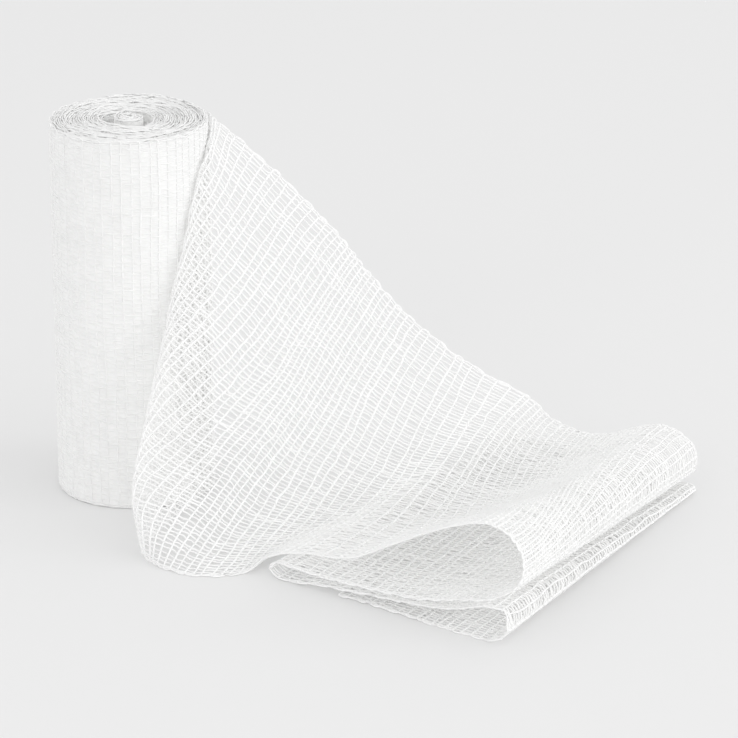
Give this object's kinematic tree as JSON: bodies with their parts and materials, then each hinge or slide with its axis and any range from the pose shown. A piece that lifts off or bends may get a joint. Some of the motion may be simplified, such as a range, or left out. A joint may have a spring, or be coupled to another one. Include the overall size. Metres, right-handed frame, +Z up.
{
  "type": "gauze bandage roll",
  "caption": "Roll of open-weave gauze bandage standing on end, its loose end swept round to the front and folded back and forth beside it.",
  "frame": {"origin": "centre of the roll's lower end, on the surface that the part rests on", "axes": "+Z up along the roll's axis, +X towards the folded stack on the right, +Y away from the front"},
  "size_m": [0.1681, 0.1348, 0.1],
  "materials": {
    "wound_gauze": "bleached cotton gauze, wound in many turns, matt",
    "open_gauze": "bleached cotton gauze in one open layer, matt and see-through"
  },
  "bodies": {
    "root": {"roll": "wound_gauze", "tail": "open_gauze"}
  },
  "joints": []
}
